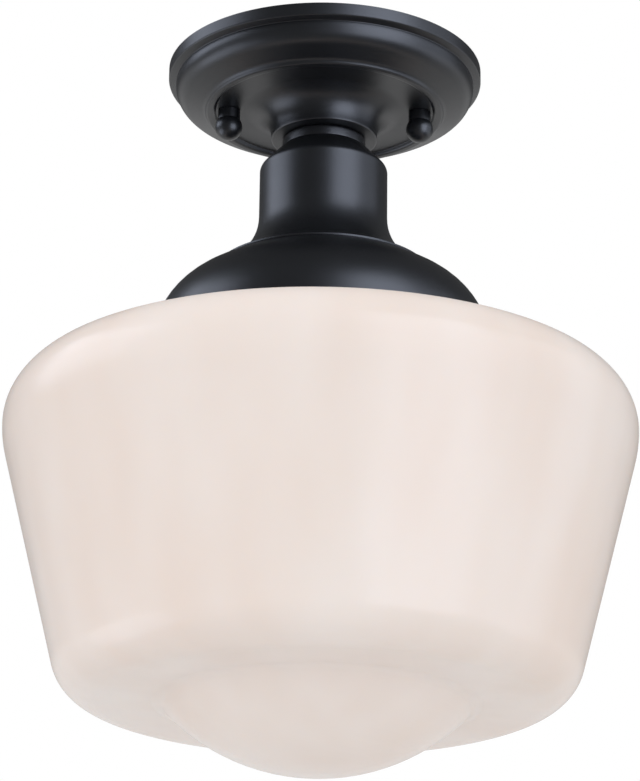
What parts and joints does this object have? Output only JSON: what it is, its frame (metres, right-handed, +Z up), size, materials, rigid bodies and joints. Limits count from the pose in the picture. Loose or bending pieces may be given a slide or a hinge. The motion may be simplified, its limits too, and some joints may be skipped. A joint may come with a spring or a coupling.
{
  "type": "semi flush ceiling light",
  "caption": "Semi flush ceiling light: stepped round canopy held by ball nuts, bell neck, domed shade holder and a rounded opal glass shade with a bulge below.",
  "frame": {"origin": "centre of the ceiling plane, on the mounting strap's top face, midway between its two slots", "axes": "+Z up along the light's own axis, the two ball nuts on the X axis, the two slots on the Y axis"},
  "size_m": [0.2484, 0.2484, 0.2913],
  "materials": {
    "black_powder_coat": "satin black powder coat with a very fine texture",
    "zinc_plated_steel": "bright zinc plate",
    "opal_glass": "blown opal glass, gloss, opaque white with a warm tint",
    "glazed_porcelain": "white glaze",
    "nickelled_brass": "nickel plated, satin",
    "bare_brass": "bare, satin",
    "tin_solder": "dull",
    "black_glass": "moulded, gloss",
    "frosted_glass": "frosted inside",
    "black_insulation": "extruded, satin",
    "white_insulation": "extruded, satin",
    "orange_nylon": "moulded",
    "green_plated_steel": "green dyed zinc plate",
    "bare_copper": "drawn, bare"
  },
  "bodies": {
    "fixture": {"crossbar": "zinc_plated_steel", "canopy_studs": "zinc_plated_steel", "stud_nuts": "zinc_plated_steel", "canopy": "black_powder_coat", "neck_collar": "black_powder_coat", "neck_bell": "black_powder_coat", "shade_holder": "black_powder_coat", "nipple": "zinc_plated_steel", "canopy_lock_washer": "zinc_plated_steel", "canopy_locknut": "zinc_plated_steel", "holder_washer": "zinc_plated_steel", "holder_locknut": "zinc_plated_steel", "socket_cap": "zinc_plated_steel", "socket_body": "glazed_porcelain", "socket_shell": "nickelled_brass", "socket_contact": "bare_brass", "lead_black": "black_insulation", "lead_white": "white_insulation", "wire_nuts": "orange_nylon", "ground_screw": "green_plated_steel", "ground_lug": "zinc_plated_steel", "ground_wire": "bare_copper"},
    "ball_nut_right": {"ball_nut_right": "black_powder_coat"},
    "ball_nut_left": {"ball_nut_left": "black_powder_coat"},
    "bulb": {"bulb_contact": "tin_solder", "bulb_insulator": "black_glass", "bulb_base": "nickelled_brass", "bulb_globe": "frosted_glass"},
    "shade": {"shade": "opal_glass"},
    "thumbscrew_right": {"thumbscrew_right": "black_powder_coat"},
    "thumbscrew_left": {"thumbscrew_left": "black_powder_coat"},
    "thumbscrew_back": {"thumbscrew_back": "black_powder_coat"}
  },
  "joints": [
    {"name": "ball_nut_right_turn", "type": "hinge", "parent": "fixture", "child": "ball_nut_right", "pos_m": [0.0388, 0, 0], "axis": [0, 0, 1], "continuous": true},
    {"name": "ball_nut_left_turn", "type": "hinge", "parent": "fixture", "child": "ball_nut_left", "pos_m": [-0.0388, 0, 0], "axis": [0, 0, 1], "continuous": true},
    {"name": "bulb_turn", "type": "hinge", "parent": "fixture", "child": "bulb", "pos_m": [0, 0, -0.13], "axis": [0, 0, -1], "range_deg": [0, 1980]},
    {"name": "shade_lower", "type": "slide", "parent": "fixture", "child": "shade", "axis": [0, 0, 1], "range_m": [-0.016, 0]},
    {"name": "thumbscrew_right_back_out", "type": "slide", "parent": "fixture", "child": "thumbscrew_right", "axis": [0.866, -0.5, 0], "range_m": [0, 0.0048]},
    {"name": "thumbscrew_left_back_out", "type": "slide", "parent": "fixture", "child": "thumbscrew_left", "axis": [-0.866, -0.5, 0], "range_m": [0, 0.0048]},
    {"name": "thumbscrew_back_back_out", "type": "slide", "parent": "fixture", "child": "thumbscrew_back", "axis": [0, 1, 0], "range_m": [0, 0.0048]}
  ],
  "couplings": [
    {"joint": "thumbscrew_right_back_out", "follows": "shade_lower", "ratio": -0.3},
    {"joint": "thumbscrew_left_back_out", "follows": "shade_lower", "ratio": -0.3},
    {"joint": "thumbscrew_back_back_out", "follows": "shade_lower", "ratio": -0.3}
  ]
}
